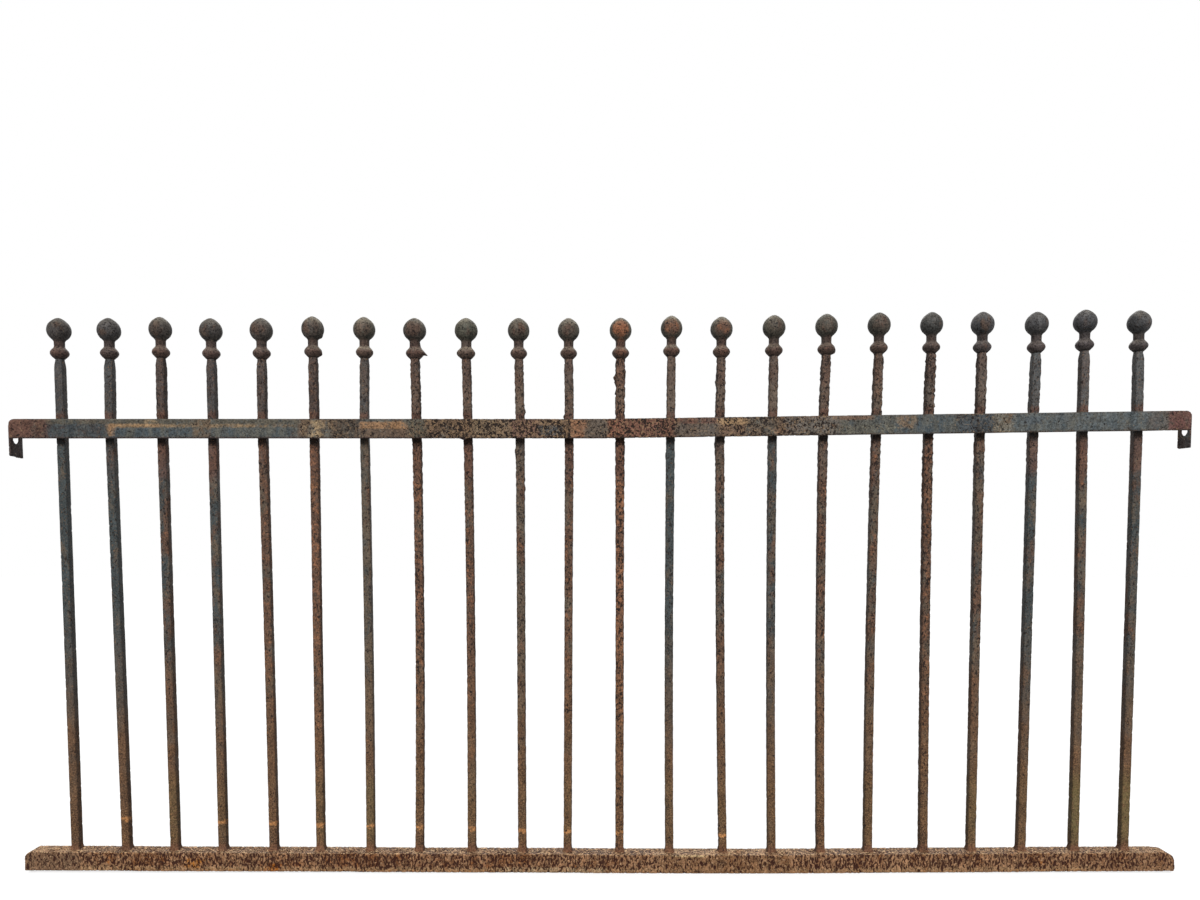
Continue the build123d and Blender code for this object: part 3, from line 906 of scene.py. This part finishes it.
def hole_centre(node, foot, seat):
    """Where a bar passes the top rail: at the corners of its bend, or else on its straight line."""
    places = [vertex.co for vertex in frame["nodes"][node].data.vertices]
    low, high = RAIL_TOP - WEB_THICKNESS, RAIL_TOP + BEND_RISE
    bend = [place for place in places if low < place.z < high]
    if not bend:
        return foot.lerp(seat, (RAIL_TOP - foot.z) / (seat.z - foot.z))
    across = [place.x for place in bend]
    return Vector(((min(across) + max(across)) / 2, seat.y, bend[0].z))


def mark(mesh, traits):
    """Gives a mesh values that its material reads, each one number or a rule over places."""
    places = [vertex.co for vertex in mesh.vertices]
    for name, value in traits.items():
        values = [value(place) for place in places] if callable(value) else [value] * len(places)
        mesh.attributes.new(name, "FLOAT", "POINT").data.foreach_set("value", values)


def wear_along(stretches, blur=0.015):
    """A rule for the wear at a place, which runs smoothly from one stretch to the next."""
    def rule(place):
        wear = stretches[0][1]
        for (end, _), (_, following) in zip(stretches, stretches[1:]):
            share = min(1.0, max(0.0, (place.x - end) / (2 * blur) + 0.5))
            wear += (following - wear) * share * share * (3 - 2 * share)
        return wear
    return rule


def push_burrs(piece, burrs, right_through=False):
    """Draws out burrs of scale. On a rail they run through its whole depth."""
    for burr in burrs:
        along, height, draw, lift, reach = (size / 1000 for size in burr)
        pull = Vector((draw, 0, lift))
        for vertex in piece.data.vertices:
            depth = vertex.co.y if right_through else BAR_SETBACK
            distance = (vertex.co - Vector((along, depth, height))).length / reach
            if distance < 1:
                vertex.co += pull * (1 - distance**2) ** 2


def make_rail(node, material, stretches, values):
    mesh = even_mesh(merged_copy(node), RAIL_GRAIN)
    mark(mesh, {"wear": wear_along(stretches)})
    piece = grow("worn_" + node, mesh, worn_skin, dict(values, Material=material, Swell=RAIL_SWELL))
    push_burrs(piece, BURRS.get(node, ()), right_through=True)
    stand_for(piece, node)


def make_bar(number, material):
    node = f"bar_{number:02d}"
    ball = f"ball_finial_{number:02d}"
    peened = lowest_centre(node)
    foot = peened + Vector((0, 0, PEEN_HEIGHT + WEB_THICKNESS - FOOT_SINK))
    low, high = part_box(ball)
    seat = Vector(((low[0] + high[0]) / 2, (low[1] + high[1]) / 2, low[2] + SEAT_DEPTH))
    index = number - 1
    scale = BAR_SCALE[index]
    values = {
        "Foot": foot, "Hole": hole_centre(node, foot, seat), "Seat": seat,
        "Material": material, "Bow": BAR_BOW[index] / 1000,
        "Swell": 0.0002 + 0.0005 * scale, "Lumps": 0.0018 * scale,
        "Pit Size": 0.0042, "Pit Stretch": 1.4, "Pit Share": 0.40 + 0.35 * scale,
    }
    piece = grow(f"forged_bar_{number:02d}", bpy.data.meshes.new("seed"), forged_bar, values)
    tie = TIE_HEIGHT - TIE_FALL * (number - 2) if number in TIED_BARS else NO_TIE
    traits = {
        "rust": BAR_RUST[index], "scale": scale, "red": BAR_RED[index], "blue": BAR_BLUE[index],
        "olive": BAR_OLIVE[index], "slate": BAR_SLATE[index], "tie": tie,
    }
    mark(piece.data, traits)
    push_burrs(piece, BURRS.get(node, ()))
    stand_for(piece, node)


def rounded_outline(corners):
    """Points along a line of (radius, height, rounding) corners, with each corner rounded."""
    points = []
    for index, (radius, height, rounding) in enumerate(corners):
        here = Vector((radius, height))
        if not rounding:
            points.append(here)
            continue
        before = Vector(corners[index - 1][:2]) - here
        after = Vector(corners[index + 1][:2]) - here
        half_angle = before.angle(after) / 2
        reach = rounding / tan(half_angle)
        start = here + before.normalized() * reach
        end = here + after.normalized() * reach
        steps = max(2, int(rounding * (pi - 2 * half_angle) / BALL_STEP) + 1)
        for step in range(steps + 1):
            share = step / steps
            points.append(start * (1 - share) ** 2 + here * 2 * share * (1 - share) + end * share**2)
    return points


def ball_outline():
    """Half the section of a ball finial from its seat to its tip, as radius and height."""
    points = rounded_outline(
        (
            (0.0, 0.0, 0),
            (0.0088, 0.0, 0.001),
            (0.0196, 0.0110, 0.0100),
            (0.0094, 0.0224, 0.0050),
            (NECK_RADIUS, 0.0345, 0.0040),
            (0.0128, 0.0376, 0),
        )
    )[:-1]
    # The ball is round below and drawn up above, with a slight point at its top
    for step in range(BALL_RISE_STEPS + 1):
        angle = radians(BALL_START_ANGLE + (90 - BALL_START_ANGLE) * step / BALL_RISE_STEPS)
        height = max(0.0, sin(angle))
        reach = BALL_RADIUS + TIP_RISE * (0.4 * height**2 + 0.6 * height**14)
        points.append(Vector((reach * cos(angle), BALL_CENTRE_HEIGHT + reach * sin(angle))))
    points[-1].x = 0.0
    return points


def turned_mesh(outline, seat, girth):
    """A turned shape, a little wider along the fence. Its outline starts and ends on its axis."""
    work = bmesh.new()
    bottom = work.verts.new(seat + Vector((0, 0, outline[0].y)))
    top = work.verts.new(seat + Vector((0, 0, outline[-1].y)))
    rings = []
    for point in outline[1:-1]:
        ring = []
        for step in range(BALL_RING_POINTS):
            angle = tau * step / BALL_RING_POINTS
            around = Vector((point.x * cos(angle) * girth, point.x * sin(angle), point.y))
            ring.append(work.verts.new(seat + around))
        rings.append(ring)
    for step in range(BALL_RING_POINTS):
        following = (step + 1) % BALL_RING_POINTS
        work.faces.new((bottom, rings[0][following], rings[0][step]))
        work.faces.new((top, rings[-1][step], rings[-1][following]))
        for lower, upper in zip(rings, rings[1:]):
            work.faces.new((lower[step], lower[following], upper[following], upper[step]))
    mesh = bpy.data.meshes.new("turned")
    work.to_mesh(mesh)
    work.free()
    return mesh


def make_ball(number, material):
    node = f"ball_finial_{number:02d}"
    low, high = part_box(node)
    seat = Vector(((low[0] + high[0]) / 2, (low[1] + high[1]) / 2, low[2]))
    values = {
        "Material": material, "Swell": 0.00025, "Swell Size": 0.012, "Swell Bias": 0.5,
        "Pit Share": 0.45, "Pit Size": 0.0038, "Pit Stretch": 1.0, "Pit Depth": 0.0004,
    }
    index = number - 1
    turned = turned_mesh(ball_outline(), seat, BALL_GIRTH[index])
    piece = grow(f"cast_ball_{number:02d}", turned, worn_skin, values)
    traits = {
        "rust": BALL_RUST[index], "orange": BALL_ORANGE[index], "green": BALL_GREEN[index],
        "dust": BALL_DUST_AND_TOP_LIGHT[index], "slate": BALL_SLATE[index], "rise": lambda place: place.z - seat.z,
    }
    mark(piece.data, traits)
    push_burrs(piece, BURRS.get(node, ()))
    stand_for(piece, node)


# Burrs of scale and casting, in millimetres: place along and upwards, draw the same, and reach
BURRS = {
    "top_rail": ((878, 0.5, 1, -3, 8),),
    # The ends of the bottom rail, beaten out at the right and rounded off at the left
    "bottom_rail": (
        (2275.5, -824.5, 3, 3.4, 22), (2284, -854, -1.8, 0, 7),
        (0, -815, 2.2, -2.2, 12),
    ),
    "bar_05": ((470, 83, -2, 0, 10),),
    "bar_08": ((787, -574, 2, 0, 10), (787, -590, 2, 0, 8)),
    "bar_10": (
        (996, 66, 2, 0, 8), (996, 54, 3, -1, 9),
        (974, -23, -3, 0, 10), (974, -36, -2, 0, 9),
        (992, -78, 2, 0, 8), (992, -96, 2, 0, 9),
    ),
    "bar_11": ((1070, 44, -4, 0, 8),),
    "bar_12": (
        (1169.5, 138, -2, 0, 10), (1169, 119, -6, 0, 8),
        (1169, 109, -3, 1, 7), (1167.5, 88, -5, -2, 7),
        (1186, 128, 2, 0, 12), (1185, 98, 1, 0, 9),
    ),
    "bar_13": ((1269, -33, -2, 0, 12),),
    "bar_14": (
        (1367, 108, -3, 0, 9), (1385, 90, 2, 0, 10),
        (1368, -10, -3, 0, 11), (1390, -76, 1.5, 0, 12),
    ),
    "bar_17": ((1689, 148, 2, 0, 9), (1672, 110, -2, 0, 9)),
    "bar_18": (
        (1791, 140, 2, 0, 9), (1792, 78, 2, 0, 8),
        (1793, 64, 3, 0, 8),
    ),
    "bar_19": ((1873, 121, -2, 0, 10),),
    "bar_20": ((1996, 10, 3, -1, 9),),
    "ball_finial_06": ((600, 197, 2, -2, 9), (601, 162, 3, -2, 8)),
    "ball_finial_08": ((796, 173, 4, -2, 12), (800, 170, 6, -8, 9)),
    "ball_finial_09": ((870, 166, -3, 0, 10),),
    "ball_finial_16": ((1594, 170, 3, -2, 9),),
}

make_rail(
    "top_rail", make_top_rail_finish(), TOP_RAIL_WEAR,
    {"Pit Depth": 0.0006, "Pit Size": 0.0042, "Pit Stretch": 1.1, "Pit Share": 0.2, "Swell Bias": 1.1},
)
make_rail(
    "bottom_rail", make_bottom_rail_finish(), BOTTOM_RAIL_WEAR,
    {"Pit Depth": 0.0008, "Pit Size": 0.0037, "Pit Stretch": 2.3, "Pit Share": 0.3, "Swell Bias": 1.0},
)
bar_finish = make_bar_finish()
ball_finish = make_ball_finish()
for number in range(1, BAR_COUNT + 1):
    make_bar(number, bar_finish)
    make_ball(number, ball_finish)


# Studio


def make_stage():
    """A white floor under the bottom rail, which glows to the camera and keeps the shadow."""
    low, high = cad_bounds
    middle = (low[0] + high[0]) / 2
    quarters = ((-1, -1), (1, -1), (1, 1), (-1, 1))
    corners = [(middle + x * FLOOR_REACH, y * FLOOR_REACH, low[2]) for x, y in quarters]
    mesh = bpy.data.meshes.new("floor")
    mesh.from_pydata(corners, [], [(0, 1, 2, 3)])
    floor = bpy.data.objects.new("floor", mesh)
    bpy.context.collection.objects.link(floor)
    material = bpy.data.materials.new("white_floor")
    material.use_nodes = True
    wire = Wiring(material.node_tree)
    wire.tree.nodes.clear()
    grey = (FLOOR_SHADE, FLOOR_SHADE, FLOOR_SHADE, 1.0)
    matt = wire.node("ShaderNodeBsdfDiffuse", {"Color": grey})
    rays = wire.node("ShaderNodeLightPath").outputs
    strength = wire.times(rays["Is Camera Ray"], FLOOR_GLOW)
    glow = wire.node("ShaderNodeEmission", {"Strength": strength})
    both = wire.node("ShaderNodeAddShader", {0: matt.outputs[0], 1: glow.outputs[0]})
    wire.node("ShaderNodeOutputMaterial", {"Surface": both.outputs[0]})
    mesh.materials.append(material)


def make_world():
    """White behind the fence, and a softer even light on it from all round."""
    world = bpy.data.worlds.new("studio")
    bpy.context.scene.world = world
    world.use_nodes = True
    wire = Wiring(world.node_tree)
    wire.tree.nodes.clear()
    rays = wire.node("ShaderNodeLightPath").outputs
    seen = wire.math("MAXIMUM", rays["Is Camera Ray"], rays["Is Glossy Ray"])
    seen = wire.math("MAXIMUM", seen, rays["Is Transmission Ray"])
    strength = wire.linear(seen, 1 - SKY_LIGHT, SKY_LIGHT)
    values = {"Color": (1.0, 1.0, 1.0, 1.0), "Strength": strength}
    backdrop = wire.node("ShaderNodeBackground", values)
    wire.node("ShaderNodeOutputWorld", {"Surface": backdrop.outputs[0]})


def make_daylight(name, strength, tilt, turn, spread):
    lamp = bpy.data.lights.new(name, "SUN")
    lamp.energy = strength
    lamp.angle = radians(spread)
    placed = bpy.data.objects.new(name, lamp)
    placed.rotation_euler = (radians(tilt), 0.0, radians(turn))
    bpy.context.collection.objects.link(placed)


def make_camera():
    camera = bpy.data.cameras.new("camera")
    camera.lens = CAMERA_LENS
    camera.shift_y = CAMERA_SHIFT_Y
    placed = bpy.data.objects.new("camera", camera)
    placed.location = CAMERA_PLACE
    placed.rotation_euler = (radians(90) - CAMERA_TILT, 0.0, 0.0)
    bpy.context.collection.objects.link(placed)
    bpy.context.scene.camera = placed


make_stage()
make_world()
make_daylight("front_daylight", strength=3.2, tilt=50, turn=0, spread=25)
make_daylight("rear_daylight", strength=1.2, tilt=50, turn=180, spread=45)
make_camera()
bpy.context.scene.view_settings.view_transform = "Standard"
